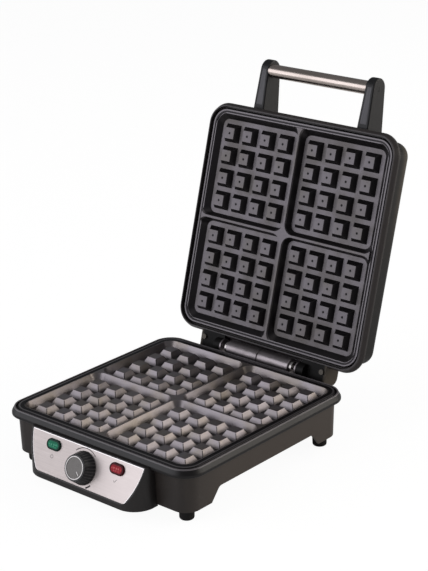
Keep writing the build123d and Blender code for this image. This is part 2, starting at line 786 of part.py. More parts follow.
# Hinge: two steel angle brackets on the rear wall carry the rod
with BuildPart() as hinge_brackets:
    foot_bottom = bracket_top - parting_height - ear_foot_height
    inside_y = body_reach - 2 - hinge_y
    for start in (-(ear_inner + ear_thickness), ear_inner):
        with BuildSketch(base_side.offset(start)):
            with BuildLine():
                Polyline(
                    (ear_radius * 0.98, -1.7), (ear_foot_y - hinge_y + 3, foot_bottom),
                    (inside_y, foot_bottom), (inside_y, -9.0), (-ear_radius * 0.8, -3.6), close=True,
                )
            make_face()
            Circle(ear_radius)
            Circle(rod_radius + 0.02, mode=Mode.SUBTRACT)
        extrude(amount=ear_thickness)
    with BuildSketch(Plane.XY.offset(bracket_top - ear_foot_height)):
        with Locations((-bracket_x, ear_foot_y), (bracket_x, ear_foot_y)):
            Rectangle(ear_foot_width + 0.2, ear_foot_y - body_reach + 2, align=(Align.CENTER, Align.MAX))
    extrude(amount=ear_foot_height)
    with BuildSketch(rear_wall.offset(-2 * wall)):
        with Locations(*bracket_places):
            Circle(screw_hole)
    extrude(amount=6 * wall, mode=Mode.SUBTRACT)
    add(outer_form(base_parting, base_depth, base_draft, 0, seat_gap), mode=Mode.SUBTRACT)
hinge_brackets.part.label = "hinge_brackets"
export_step(hinge_brackets.part, "parts/hinge_brackets.step")

with BuildPart() as hinge_bracket_screws:
    add(screws(rear_wall.offset(ear_foot_y - body_reach + 0.05), bracket_places, short_screw_length))
hinge_bracket_screws.part.label = "hinge_bracket_screws"
export_step(hinge_bracket_screws.part, "parts/hinge_bracket_screws.step")

with BuildPart() as hinge_rod:
    with BuildSketch(base_side.offset(-rod_reach)):
        Circle(rod_radius)
    extrude(amount=2 * rod_reach)
hinge_rod.part.label = "hinge_rod"
export_step(hinge_rod.part, "parts/hinge_rod.step")

with BuildPart() as hinge_sleeves:
    for start in (-sleeve_reach, sleeve_seam / 2):
        with BuildSketch(base_side.offset(start)):
            Circle(sleeve_radius)
        extrude(amount=sleeve_reach - sleeve_seam / 2)
    fillet(hinge_sleeves.edges().filter_by(GeomType.CIRCLE), 0.8)
    with BuildSketch(base_side.offset(-sleeve_reach)):
        Circle(rod_radius + 0.04)
    extrude(amount=2 * sleeve_reach, mode=Mode.SUBTRACT)
hinge_sleeves.part.label = "hinge_sleeves"
export_step(hinge_sleeves.part, "parts/hinge_sleeves.step")

with BuildPart() as hinge_collars:
    for start in (-(collar_start + collar_length), collar_start):
        with BuildSketch(base_side.offset(start)):
            Circle(collar_radius)
            Circle(rod_radius + 0.04, mode=Mode.SUBTRACT)
        extrude(amount=collar_length)
hinge_collars.part.label = "hinge_collars"
export_step(hinge_collars.part, "parts/hinge_collars.step")

# Control box: upright box with widely rounded corners, cut off by the sloping panel
with BuildPart() as control_housing:
    add(box_form(0, 3.0, bezel_stand))
    add(box_form(box_wall, -box_wall, panel_back), mode=Mode.SUBTRACT)
    extrude(
        panel_outline(
            fascia_plane.offset(-fascia_gauge - 0.1), fascia_top_half + seat_gap,
            fascia_bottom_half + seat_gap, fascia_slope / 2 + seat_gap, -fascia_slope / 2 - seat_gap,
            fascia_bulge, fascia_corner + seat_gap,
        ),
        amount=4 * fascia_gauge, mode=Mode.SUBTRACT,
    )
    with BuildSketch(fascia_plane.offset(2 * panel_back)):
        with Locations((-lamp_place, lamp_rise), (lamp_place, lamp_rise)):
            SlotOverall(lamp_length + 2 * seat_gap, lamp_height + 2 * seat_gap)
        with Locations((0, knob_rise)):
            Circle(bush_radius + 0.1)
    extrude(amount=-3 * panel_back, mode=Mode.SUBTRACT)
    with BuildSketch(front_wall.offset(-2 * wall)):
        with Locations((0, window_height)):
            RectangleRounded(wire_window_width, wire_window_height, 3.0)
    extrude(amount=2 * wall + box_wall + 1, mode=Mode.SUBTRACT)
    add(outer_form(base_parting, base_depth, base_draft, 0, seat_gap), mode=Mode.SUBTRACT)
control_housing.part.label = "control_housing"
export_step(control_housing.part, "parts/control_housing.step")

with BuildPart() as control_fascia:
    extrude(
        panel_outline(
            fascia_plane.offset(-fascia_gauge), fascia_top_half, fascia_bottom_half,
            fascia_slope / 2, -fascia_slope / 2, fascia_bulge, fascia_corner,
        ),
        amount=fascia_gauge,
    )
    with BuildSketch(fascia_plane.offset(-2 * fascia_gauge)):
        with Locations((-lamp_place, lamp_rise), (lamp_place, lamp_rise)):
            SlotOverall(lamp_length + 2 * seat_gap, lamp_height + 2 * seat_gap)
        with Locations((0, knob_rise)):
            Circle(bush_radius + 0.1)
    extrude(amount=4 * fascia_gauge, mode=Mode.SUBTRACT)
control_fascia.part.label = "control_fascia"
export_step(control_fascia.part, "parts/control_fascia.step")

with BuildPart() as power_lamp_lens:
    add(lamp_lens(-lamp_place))
power_lamp_lens.part.label = "power_lamp_lens"
export_step(power_lamp_lens.part, "parts/power_lamp_lens.step")

with BuildPart() as ready_lamp_lens:
    add(lamp_lens(lamp_place))
ready_lamp_lens.part.label = "ready_lamp_lens"
export_step(ready_lamp_lens.part, "parts/ready_lamp_lens.step")

with BuildPart() as indicator_neons:
    with BuildSketch(fascia_plane.offset(-0.1)):
        with Locations((-lamp_place, lamp_rise), (lamp_place, lamp_rise)):
            Circle(neon_radius)
    extrude(amount=-neon_length)
indicator_neons.part.label = "indicator_neons"
export_step(indicator_neons.part, "parts/indicator_neons.step")

# Thermostat behind the panel: body, bush through the panel, nut in front, turning shaft
with BuildPart() as thermostat_body:
    with BuildSketch(fascia_plane.offset(panel_back - 0.15)):
        with Locations((0, knob_rise)):
            RectangleRounded(thermostat_width, thermostat_height, 2.0)
    extrude(amount=-thermostat_depth)
    with BuildSketch(fascia_plane.offset(panel_back - 0.5)):
        with Locations((0, knob_rise)):
            Circle(bush_radius)
    extrude(amount=bush_stand - panel_back + 0.5)
    with BuildSketch(fascia_plane.offset(panel_back - thermostat_depth + 2.4)):
        with Locations((0, knob_rise)):
            Circle(shaft_radius + running_clearance)
    extrude(amount=thermostat_depth + bush_stand - panel_back, mode=Mode.SUBTRACT)
thermostat_body.part.label = "thermostat_body"
export_step(thermostat_body.part, "parts/thermostat_body.step")

with BuildPart() as thermostat_nut:
    with BuildSketch(fascia_plane.offset(0.1)):
        with Locations((0, knob_rise)):
            RegularPolygon(nut_size, 6)
            Circle(bush_radius + 0.05, mode=Mode.SUBTRACT)
    extrude(amount=nut_thickness)
thermostat_nut.part.label = "thermostat_nut"
export_step(thermostat_nut.part, "parts/thermostat_nut.step")

with BuildPart() as thermostat_shaft:
    shaft_start = panel_back - thermostat_depth + 2.4 + fit_gap
    with BuildSketch(fascia_plane.offset(shaft_start)):
        with Locations((0, knob_rise)):
            Circle(shaft_radius)
    extrude(amount=knob_top - knob_floor - 0.2 - shaft_start)
thermostat_shaft.part.label = "thermostat_shaft"
export_step(thermostat_shaft.part, "parts/thermostat_shaft.step")

# Fluted knob, hollow under its face
with BuildPart() as control_knob:
    for radius, level in ((knob_foot_radius, 0), (knob_face_radius, knob_length)):
        with BuildSketch(knob_plane.offset(level)):
            with Locations((0, knob_rise)):
                Circle(radius)
                with PolarLocations(radius + flute_radius * 0.35, knob_flutes):
                    Circle(flute_radius * radius / knob_foot_radius, mode=Mode.SUBTRACT)
    loft(ruled=True)
    for radius, level in ((knob_foot_radius, 0), (knob_face_radius, knob_length - knob_floor)):
        with BuildSketch(knob_plane.offset(level)):
            with Locations((0, knob_rise)):
                Circle(radius - knob_wall)
    loft(mode=Mode.SUBTRACT)
    hub_level = bush_stand + 0.6
    with BuildSketch(fascia_plane.offset(hub_level)):
        with Locations((0, knob_rise)):
            Circle(shaft_radius + 2.4)
            Circle(shaft_radius + 0.04, mode=Mode.SUBTRACT)
    extrude(amount=knob_top - knob_floor - hub_level + 0.2)
    with BuildSketch(knob_plane.offset(knob_length - cap_thickness)):
        with Locations((0, knob_rise)):
            Circle(cap_radius + ring_width + 0.1)
    extrude(amount=2 * cap_thickness, mode=Mode.SUBTRACT)
control_knob.part.label = "control_knob"
export_step(control_knob.part, "parts/control_knob.step")

with BuildPart() as knob_ring:
    with BuildSketch(knob_plane.offset(knob_length - cap_thickness + 0.05)):
        with Locations((0, knob_rise)):
            Circle(cap_radius + ring_width)
            Circle(cap_radius + 0.1, mode=Mode.SUBTRACT)
    extrude(amount=cap_thickness + 0.5)
knob_ring.part.label = "knob_ring"
export_step(knob_ring.part, "parts/knob_ring.step")

with BuildPart() as knob_cap:
    with BuildSketch(knob_plane.offset(knob_length - cap_thickness + 0.05)):
        with Locations((0, knob_rise)):
            Circle(cap_radius)
    extrude(amount=cap_thickness)
    with BuildSketch(knob_plane.offset(knob_length - 0.1)):
        with Locations((0, knob_rise)):
            with PolarLocations(cap_radius - pointer_length / 2 - 0.8, 1, start_angle=pointer_angle):
                Rectangle(pointer_length, pointer_width)
    extrude(amount=0.5)
knob_cap.part.label = "knob_cap"
export_step(knob_cap.part, "parts/knob_cap.step")

# Inside the base: terminal block, thermal cut-out and the bush of the rear inlet
with BuildPart() as terminal_block:
    with BuildSketch(Plane.XY.offset(block_level)):
        with Locations((0, block_y)):
            RectangleRounded(block_width, block_depth, 1.0)
    extrude(amount=block_height)
    with BuildSketch(rear_wall):
        with GridLocations(0.3 * block_width, 0, 3, 1):
            with Locations((0, block_level + block_height / 2)):
                Circle(0.2 * block_height)
    extrude(amount=-2 * block_depth - body_reach + block_y, mode=Mode.SUBTRACT)
terminal_block.part.label = "terminal_block"
export_step(terminal_block.part, "parts/terminal_block.step")

with BuildPart() as thermal_cutout:
    with BuildSketch(base_parting.offset(reflector_back + 0.05)):
        with Locations((3.5 * cutout_radius, 0)):
            Circle(cutout_radius)
    extrude(amount=cutout_height)
    with BuildSketch(base_parting.offset(reflector_back + cutout_height - 1)):
        with Locations((3 * cutout_radius, 0), (4 * cutout_radius, 0)):
            Rectangle(0.8, 6)
    extrude(amount=cutout_height)
thermal_cutout.part.label = "thermal_cutout"
export_step(thermal_cutout.part, "parts/thermal_cutout.step")

with BuildPart() as inlet_bush:
    with BuildSketch(rear_wall.offset(-2 * wall)):
        with Locations((0, inlet_height)):
            Circle(inlet_radius - seat_gap)
    extrude(amount=2 * wall + 0.1)
    with BuildSketch(rear_wall.offset(0.1)):
        with Locations((0, inlet_height)):
            Circle(inlet_radius + 2.2)
    extrude(amount=1.8)
    with BuildSketch(rear_wall.offset(-3 * wall)):
        with Locations((0, inlet_height)):
            Circle(inlet_radius - 2.2)
    extrude(amount=6 * wall, mode=Mode.SUBTRACT)
inlet_bush.part.label = "inlet_bush"
export_step(inlet_bush.part, "parts/inlet_bush.step")

# Lid housing
with BuildPart() as lid_housing:
    add(outer_form(lid_parting, lid_depth, lid_draft, crown_round, 0))
    lid_space = inner_form(lid_parting, upper_seat_depth, lid_depth - wall, lid_draft, crown_round - wall)
    add(lid_space, mode=Mode.SUBTRACT)
    with BuildSketch(lid_front_inside.offset(2 * wall)):
        with Locations(*[(x, -h) for x, h in arm_places]):
            Circle(screw_hole)
    extrude(amount=-4 * wall, mode=Mode.SUBTRACT)
    with BuildSketch(lid_rear_inside.offset(2 * wall)):
        with Locations(*lug_places):
            Circle(screw_hole)
    extrude(amount=-4 * wall, mode=Mode.SUBTRACT)
lid_housing.part.label = "lid_housing"
export_step(lid_housing.part, "parts/lid_housing.step")

with BuildPart() as upper_plate:
    add(cooking_plate(lid_parting, upper_wall_run, upper_rim_drop, upper_seat_depth, upper_groove_place))
upper_plate.part.label = "upper_plate"
export_step(upper_plate.part, "parts/upper_plate.step")

with BuildPart() as upper_heating_element:
    add(heating_element(lid_parting, 1))
upper_heating_element.part.label = "upper_heating_element"
export_step(upper_heating_element.part, "parts/upper_heating_element.step")

with BuildPart() as upper_element_clips:
    add(element_clips(lid_parting))
upper_element_clips.part.label = "upper_element_clips"
export_step(upper_element_clips.part, "parts/upper_element_clips.step")

with BuildPart() as upper_reflector:
    add(reflector(lid_parting, upper_seat_depth, 1))
upper_reflector.part.label = "upper_reflector"
export_step(upper_reflector.part, "parts/upper_reflector.step")

with BuildPart() as upper_plate_screws:
    add(screws(lid_parting.offset(reflector_back), corner_places(boss_place), boss_height - 1.0))
upper_plate_screws.part.label = "upper_plate_screws"
export_step(upper_plate_screws.part, "parts/upper_plate_screws.step")

with BuildPart() as hinge_lug_left:
    add(hinge_lug(-1))
hinge_lug_left.part.label = "hinge_lug_left"
export_step(hinge_lug_left.part, "parts/hinge_lug_left.step")

with BuildPart() as hinge_lug_right:
    add(hinge_lug(1))
hinge_lug_right.part.label = "hinge_lug_right"
export_step(hinge_lug_right.part, "parts/hinge_lug_right.step")

# Fixing screws of the lugs go outwards through the rear wall, the face screws into the lug
with BuildPart() as lug_fixing_screws:
    lug_wall_step = (lug_places[0][1] + screw_head_radius - flange_end) * lid_lean + 0.25
    add(screws(lid_rear_inside.offset(lug_wall_step), lug_places, screw_length))
lug_fixing_screws.part.label = "lug_fixing_screws"
export_step(lug_fixing_screws.part, "parts/lug_fixing_screws.step")

with BuildPart() as lug_face_screws:
    face_places = [(-lug_screw_x, -lug_screw_y), (lug_screw_x, -lug_screw_y)]
    add(screws(flipped(lid_parting.offset(flange_start - 0.05)), face_places, screw_length))
lug_face_screws.part.label = "lug_face_screws"
export_step(lug_face_screws.part, "parts/lug_face_screws.step")

with BuildPart() as handle_arm_left:
    add(handle_arm(-1))
handle_arm_left.part.label = "handle_arm_left"
export_step(handle_arm_left.part, "parts/handle_arm_left.step")

with BuildPart() as handle_arm_right:
    add(handle_arm(1))
handle_arm_right.part.label = "handle_arm_right"
export_step(handle_arm_right.part, "parts/handle_arm_right.step")

with BuildPart() as handle_arm_screws:
    arm_wall_step = (arm_places[1][1] + screw_head_radius - flange_end) * lid_lean + 0.5
    add(screws(lid_front_inside.offset(arm_wall_step), [(x, -h) for x, h in arm_places], screw_length))
handle_arm_screws.part.label = "handle_arm_screws"
export_step(handle_arm_screws.part, "parts/handle_arm_screws.step")

with BuildPart() as handle_arm_strips:
    strip_level = arm_tip_height - arm_tip_radius + 0.2
    for side in (-1, 1):
        with BuildSketch(lid_parting.offset(strip_level)):
            with BuildLine():
                Polyline(*strip_points(side, seat_gap), close=True)
            make_face()
        extrude(amount=strip_depth - 0.3)
handle_arm_strips.part.label = "handle_arm_strips"
export_step(handle_arm_strips.part, "parts/handle_arm_strips.step")

with BuildPart() as handle_bar:
    bar_reach = bar_socket - seat_gap
    with BuildSketch(lid_side.offset(-bar_reach)):
        with Locations((bar_y - hinge_y, bar_height)):
            Circle(bar_radius)
            Circle(tie_radius + 0.1, mode=Mode.SUBTRACT)
    extrude(amount=2 * bar_reach)
    with BuildSketch(lid_side.offset(-bar_reach + 2)):
        with Locations((bar_y - hinge_y, bar_height)):
            Circle(bar_radius - bar_wall)
    extrude(amount=2 * bar_reach - 4, mode=Mode.SUBTRACT)
handle_bar.part.label = "handle_bar"
export_step(handle_bar.part, "parts/handle_bar.step")

with BuildPart() as handle_tie_rod:
    tie_reach = arm_tip_outer - plug_depth - screw_head_height - 0.5
    with BuildSketch(lid_side.offset(-tie_reach)):
        with Locations((bar_y - hinge_y, bar_height)):
            Circle(tie_radius)
    extrude(amount=2 * tie_reach)
    for plane, turn in ((lid_side, 1), (lid_far_side, -1)):
        with BuildSketch(plane.offset(tie_reach)):
            with Locations((bar_y - hinge_y, turn * bar_height)):
                Circle(screw_hole)
        extrude(amount=-screw_length - 2, mode=Mode.SUBTRACT)
handle_tie_rod.part.label = "handle_tie_rod"
export_step(handle_tie_rod.part, "parts/handle_tie_rod.step")

with BuildPart() as handle_end_screws:
    head_place = arm_tip_outer - plug_depth - screw_head_height - 0.35
    add(screws(lid_side.offset(head_place), [(bar_y - hinge_y, bar_height)], screw_length))
    add(screws(lid_far_side.offset(head_place), [(bar_y - hinge_y, -bar_height)], screw_length))
handle_end_screws.part.label = "handle_end_screws"
export_step(handle_end_screws.part, "parts/handle_end_screws.step")

# Plugs that close the screw recesses flush with the arms
with BuildPart() as handle_end_plugs:
    for plane, turn in ((lid_side, 1), (lid_far_side, -1)):
        with BuildSketch(plane.offset(arm_tip_outer - plug_depth - 0.3)):
            with Locations((bar_y - hinge_y, turn * bar_height)):
                Circle(screw_head_radius + 0.3)
        extrude(amount=plug_depth + 0.5)
handle_end_plugs.part.label = "handle_end_plugs"
export_step(handle_end_plugs.part, "parts/handle_end_plugs.step")
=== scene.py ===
import math

import bmesh
import bpy
from mathutils import Matrix, Vector


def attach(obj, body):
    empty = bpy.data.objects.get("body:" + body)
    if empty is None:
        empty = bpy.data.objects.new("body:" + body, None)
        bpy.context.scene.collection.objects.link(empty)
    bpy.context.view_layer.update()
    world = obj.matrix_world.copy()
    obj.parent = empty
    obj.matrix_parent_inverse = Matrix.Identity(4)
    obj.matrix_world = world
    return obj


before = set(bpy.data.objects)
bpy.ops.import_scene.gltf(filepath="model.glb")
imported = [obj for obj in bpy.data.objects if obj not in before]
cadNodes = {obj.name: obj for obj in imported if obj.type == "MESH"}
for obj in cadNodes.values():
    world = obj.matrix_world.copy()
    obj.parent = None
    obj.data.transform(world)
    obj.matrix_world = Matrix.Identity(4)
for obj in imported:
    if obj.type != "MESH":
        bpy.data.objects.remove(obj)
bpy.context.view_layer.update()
mm = 0.001
print("frame loaded:", len(cadNodes), "solids of the waffle maker")


class Signal:  # a socket that can be used in sums
    def __init__(self, finish, socket):
        self.finish = finish
        self.socket = socket

    def maths(self, operation, *terms):
        return self.finish.node("ShaderNodeMath", {"operation": operation}, dict(enumerate(terms)))

    def __add__(self, other):
        return self.maths("ADD", self, other)

    def __radd__(self, other):
        return self.maths("ADD", other, self)

    def __sub__(self, other):
        return self.maths("SUBTRACT", self, other)

    def __rsub__(self, other):
        return self.maths("SUBTRACT", other, self)

    def __mul__(self, other):
        return self.maths("MULTIPLY", self, other)

    def __rmul__(self, other):
        return self.maths("MULTIPLY", other, self)

    def __abs__(self):
        return self.maths("ABSOLUTE", self)

    def fold(self, step):  # repeats the value every step, centred on 0
        return self.maths("WRAP", self, step / 2, -step / 2)

    def root(self):
        return self.maths("SQRT", self)

    def larger(self, other):
        return self.maths("MAXIMUM", self, other)

    def smaller(self, other):
        return self.maths("MINIMUM", self, other)

    def turnFrom(self, across):  # the turn of a point that lies this high and that far across
        return self.maths("ARCTAN2", self, across)

    def cosine(self):
        return self.maths("COSINE", self)

    def ease(self, low, high):  # 0 at low, 1 at high
        return self.finish.node(
            "ShaderNodeMapRange", {"interpolation_type": "SMOOTHSTEP"},
            {"Value": self, "From Min": low, "From Max": high, "To Min": 0.0, "To Max": 1.0},
        )

    def over(self, span):  # 0 at the start of a span in mm, 1 at its end
        return self.ease(span[0] * mm, span[1] * mm)

    def band(self, middle, half, soft):  # 1 inside a band round middle, all in mm
        return 1 - abs(self - middle * mm).over((half, half + soft))


class Finish:  # one material under construction
    def __init__(self, name, holder=None):
        self.holder = holder or bpy.data.materials.new(name)
        self.holder.use_nodes = True
        self.tree = self.holder.node_tree
        self.tree.nodes.clear()

    def node(self, kind, settings=None, links=None, result=0):
        made = self.tree.nodes.new(kind)
        for key, value in (settings or {}).items():
            setattr(made, key, value)
        for key, value in (links or {}).items():
            if isinstance(value, Signal):
                self.tree.links.new(value.socket, made.inputs[key])
            else:
                made.inputs[key].default_value = value
        return Signal(self, made.outputs[result]) if made.outputs else None

    def place(self):  # the point of the surface, in metres, at rest
        return self.node("ShaderNodeTexCoord", result="Object")

    def axes(self):
        outlets = self.node("ShaderNodeSeparateXYZ", {}, {0: self.place()}).socket.node.outputs
        return [Signal(self, outlets[index]) for index in range(3)]

    def rays(self):  # 1 for rays seen by the camera, from a glossy surface, and through glass
        outlets = self.node("ShaderNodeLightPath").socket.node.outputs
        kinds = ("Is Camera Ray", "Is Glossy Ray", "Is Transmission Ray")
        return [Signal(self, outlets[kind]) for kind in kinds]

    def noise(self, scale, detail, rough=0.55, stretch=None):
        spot = self.place()
        if stretch:
            spot = self.node("ShaderNodeVectorMath", {"operation": "MULTIPLY"}, {0: spot, 1: stretch})
        links = {"Vector": spot, "Scale": scale, "Detail": detail, "Roughness": rough}
        return self.node("ShaderNodeTexNoise", {"noise_dimensions": "3D"}, links)

    def mix(self, factor, first, second):
        return self.node("ShaderNodeMix", {"data_type": "RGBA"}, {0: factor, 6: first, 7: second}, 2)

    def tint(self, tone, share, colour):  # lays a share of a colour over a tone
        return self.mix(share, tone, paint(*colour))

    def bump(self, height, depth, strength, under=None):
        links = {"Height": height, "Distance": depth, "Strength": strength}
        if under:
            links["Normal"] = under
        return self.node("ShaderNodeBump", {}, links)

    def shade(self, **sockets):
        names = {
            "colour": "Base Color", "rough": "Roughness", "metal": "Metallic", "normal": "Normal",
            "spec": "Specular IOR Level",
        }
        links = {names[key]: value for key, value in sockets.items()}
        skin = self.node("ShaderNodeBsdfPrincipled", {}, links)
        self.node("ShaderNodeOutputMaterial", {}, {"Surface": skin})
        return self.holder


def paint(red, green, blue):  # a colour as it reads on screen, 0 to 255
    def linear(level):  # the usual screen curve
        level = level / 255
        return level / 12.92 if level <= 0.04045 else ((level + 0.055) / 1.055) ** 2.4
    return (linear(red), linear(green), linear(blue), 1.0)


def wear(node, material):  # puts a finish on a solid of the frame
    for slot in cadNodes[node].material_slots:
        slot.material = material


def meshPiece(name, mesh, material):  # turns a finished mesh into an object of the scene
    sheet = bpy.data.meshes.new(name)
    mesh.to_mesh(sheet)
    mesh.free()
    sheet.materials.append(material)
    piece = bpy.data.objects.new(name, sheet)
    bpy.context.scene.collection.objects.link(piece)
    return piece


hinge = {"depth": 143.9, "height": 65.0, "opening": 105.8}  # its axis in mm, the lid's opening in degrees


def fromParting(finish, lid):  # across, from front to back, and depth into the plate from the parting plane
    x, y, z = finish.axes()
    if not lid:
        return x, y, hinge["height"] * mm - z
    turn = math.radians(hinge["opening"])
    behind = y - hinge["depth"] * mm
    above = z - hinge["height"] * mm
    level = behind * math.sin(turn) + above * math.cos(turn)
    depth = behind * math.cos(turn) - above * math.sin(turn) + hinge["depth"] * mm
    return x, depth, level


def squareReach(across, depth, core):  # reach of a square with round corners, past its straight core
    overX = (abs(across) - core * mm).larger(0.0)
    overY = (abs(depth) - core * mm).larger(0.0)
    return (overX * overX + overY * overY).root() + core * mm


plates = {  # in mm from the middle of the plate, levels from the parting plane
    "firstStud": 21.0,
    "studPitch": 26.4,
    "field": (60.6, 50, 1),  # middle, half width and soft edge of a quarter's studs
    "topLevel": (1.8, 2.4),
    "sideLevel": (1.7, 2.1),
    "footShadeLevel": (4.6, 8.2),
    "channelShadeLevel": (6.5, 8.8),
    "channelLevel": (8.1, 8.5),
    "cornerCore": 108.5,
    "rimSoft": 0.3,
    "speckAndShadeTone": (40, 38, 40),
    "rimShadeTone": (44, 42, 44),
    "cloudScale": 28,
    "cloudFrom": (0.35, 0.7),
    "channelShadeFrom": (0.4, 0.65),
    "channelShadeShare": 0.25,
    "speckScale": 1500,
    "speckFrom": (0.55, 0.75),
    "speckShare": 0.25,
    "rubScale": 9,
    "rubStretch": (1, 6, 1),
    "rubFrom": (0.5, 0.8),
    "roughness": 0.34,
    "speckRough": 0.10,
    "rubRough": 0.05,
    "speckBump": (0.05, 0.5),
    "markBump": (0.12, 0.6),
    "metal": 0.85,
    "spec": 0.5,
    # both plates carry one coating; the base plate's lighter tone is painted light and the lid plate's darker
    # tone painted shade
    "lower": {
        "coating": (146, 140, 144), "coatingWarm": (140, 132, 126), "side": (146, 140, 144), "sideShadeShare": 0.0,
        "footShadeShare": 0.5, "mark": (150, 148, 146), "markSpan": (0.64, 1.0), "markShare": 0.5,
        "edge": (30, 28, 30), "paintedEdgeShare": 0.9, "paintedEdgeSpan": (0.45, 0.9), "rimStart": 120.2,
        "ridgeHighlightTone": (160, 156, 158), "ridgeHighlights": ((120.6, 0.35, 0.5), (126.2, 0.7, 0.8)),
    },
    "upper": {
        "coating": (104, 100, 104), "coatingWarm": (97, 93, 92), "side": (34, 32, 34), "sideShadeShare": 0.8,
        "footShadeShare": 0.0, "mark": (10, 9, 11), "markSpan": (1.08, 1.6875), "markShare": 1.0,
        "edge": (96, 94, 96), "paintedEdgeShare": 0.3, "paintedEdgeSpan": (0.25, 0.5), "rimStart": 122.2,
        "ridgeHighlightTone": (122, 118, 121), "ridgeHighlights": ((122.9, 0.5, 0.8), (126.3, 0.6, 0.8)),
    },
}


def plateCoating(name, lid):
    look = plates["upper" if lid else "lower"]
    coat = Finish(name)
    x, depth, level = fromParting(coat, lid)
    alongX = (abs(x) - plates["firstStud"] * mm).fold(plates["studPitch"] * mm)
    alongY = (abs(depth) - plates["firstStud"] * mm).fold(plates["studPitch"] * mm)
    spread = (alongX * alongX + alongY * alongY).root()
    inField = abs(x).band(*plates["field"]) * abs(depth).band(*plates["field"])
    onTop = 1 - level.over(plates["topLevel"])
    mark = (1 - spread.over(look["markSpan"])) * onTop * inField
    onSide = level.over(plates["sideLevel"]) * (1 - level.over(plates["channelLevel"]))
    # painted light on the studs' upright corners: a painted highlight on the lid plate, painted shade on the
    # base plate
    corner = abs(abs(alongX) - abs(alongY))
    edge = (1 - corner.over(look["paintedEdgeSpan"])) * onSide * inField
    # painted shade: on the base plate the studs darken down their lower sides into the channels
    foot = level.over(plates["footShadeLevel"]) * inField
    cloud = coat.noise(plates["cloudScale"], 4)
    speck = coat.noise(plates["speckScale"], 2)
    channelShade = level.over(plates["channelShadeLevel"]) * cloud.ease(*plates["channelShadeFrom"])  # painted shade: darker deep in the channels, mottled by noise
    tone = coat.tint(paint(*look["coating"]), cloud.ease(*plates["cloudFrom"]), look["coatingWarm"])
    tone = coat.tint(tone, speck.ease(*plates["speckFrom"]) * plates["speckShare"], plates["speckAndShadeTone"])
    tone = coat.tint(tone, channelShade * plates["channelShadeShare"], plates["speckAndShadeTone"])
    # painted shade: the lid plate's stud sides are laid over with a dark tone
    tone = coat.tint(tone, onSide * look["sideShadeShare"], look["side"])
    tone = coat.tint(tone, foot * look["footShadeShare"], plates["speckAndShadeTone"])
    tone = coat.tint(tone, edge * look["paintedEdgeShare"], look["edge"])
    reach = squareReach(x, depth, plates["cornerCore"])
    # painted shade: the plate darkens beyond the start of its rim
    rim = reach.over((look["rimStart"], look["rimStart"] + plates["rimSoft"]))
    tone = coat.tint(tone, rim, plates["rimShadeTone"])
    # painted highlights: light lines along the ridges of the rim
    for middle, half, share in look["ridgeHighlights"]:
        tone = coat.tint(tone, reach.band(middle, half, plates["rimSoft"]) * share, look["ridgeHighlightTone"])
    tone = coat.tint(tone, mark * look["markShare"], look["mark"])
    rub = coat.noise(plates["rubScale"], 3, stretch=plates["rubStretch"]).ease(*plates["rubFrom"])
    rough = plates["roughness"] + speck * plates["speckRough"] - rub * plates["rubRough"]
    normal = None
    for height, bump in ((speck, "speckBump"), (mark, "markBump")):
        bumpDepth, strength = plates[bump]
        normal = coat.bump(height, bumpDepth * mm, strength, normal)
    return coat.shade(colour=tone, rough=rough, metal=plates["metal"], normal=normal, spec=plates["spec"])


wear("lower_plate", plateCoating("coatedCastLower", False))
wear("upper_plate", plateCoating("coatedCastUpper", True))
print("plates coated")


panel = {  # places and widths in mm; sideSlope and sideBow shape its bowed side edges
    "origin": (0, -146.75, 37.6),
    "out": (0, -0.9316, 0.3636),
    "up": (0, 0.3636, 0.9316),
    "halfHeight": 21.04,
    "sideHalf": 75.2,
    "sideSlope": 0.39,
    "sideBow": 6.78,
    "paintedEdgeSpan": (0.63, 1.17),
    "knobRise": -1.16,
    "lampRise": 10.94,
    "lampPlace": 46.0,
}


def onPanel(across, rise, lift):  # a point on the sloping panel, from mm
    spot = Vector(panel["origin"]) + Vector(panel["up"]) * rise + Vector(panel["out"]) * lift
    return (spot + Vector((across, 0, 0))) * mm


def panelAxes(finish, across, rise):  # along the panel and up its slope, from a point on it given in mm
    x, y, z = finish.axes()
    middle = onPanel(across, rise, 0)
    return x - middle.x, (y - middle.y) * panel["up"][1] + (z - middle.z) * panel["up"][2]


def panelEdge(sheet):  # 1 along the rolled top edge and the bowed side edges of the panel
    across, rise = panelAxes(sheet, 0, 0)
    half = rise * panel["sideSlope"] - rise * rise * panel["sideBow"] + panel["sideHalf"] * mm
    inside = (half - abs(across)).smaller(panel["halfHeight"] * mm - rise)
    return 1 - inside.over(panel["paintedEdgeSpan"])


def pointerAxes(sheet, angle):  # along the knob's pointer and aside of it
    across, rise = panelAxes(sheet, 0, panel["knobRise"])
    turn = math.radians(angle)
    along = across * math.cos(turn) + rise * math.sin(turn)
    aside = rise * math.cos(turn) - across * math.sin(turn)
    return along, aside


def fluteShade(resin, look):  # 1 on the ribs round the knob, 0 in its flutes and on its face
    across, rise = panelAxes(resin, 0, panel["knobRise"])
    wave = (rise.turnFrom(across) * look["ribs"]).cosine()
    reach = (across * across + rise * rise).root()
    return wave.ease(*look["ribFrom"]) * reach.over(look["faceEdge"])


plasticWear = {
    "hazeFrom": (0.3, 0.75), "dustScale": 420, "dustFrom": (0.68, 0.80), "dustTone": (120, 116, 112),
    "grainRough": 0.04, "bumpStrength": 0.35,
}


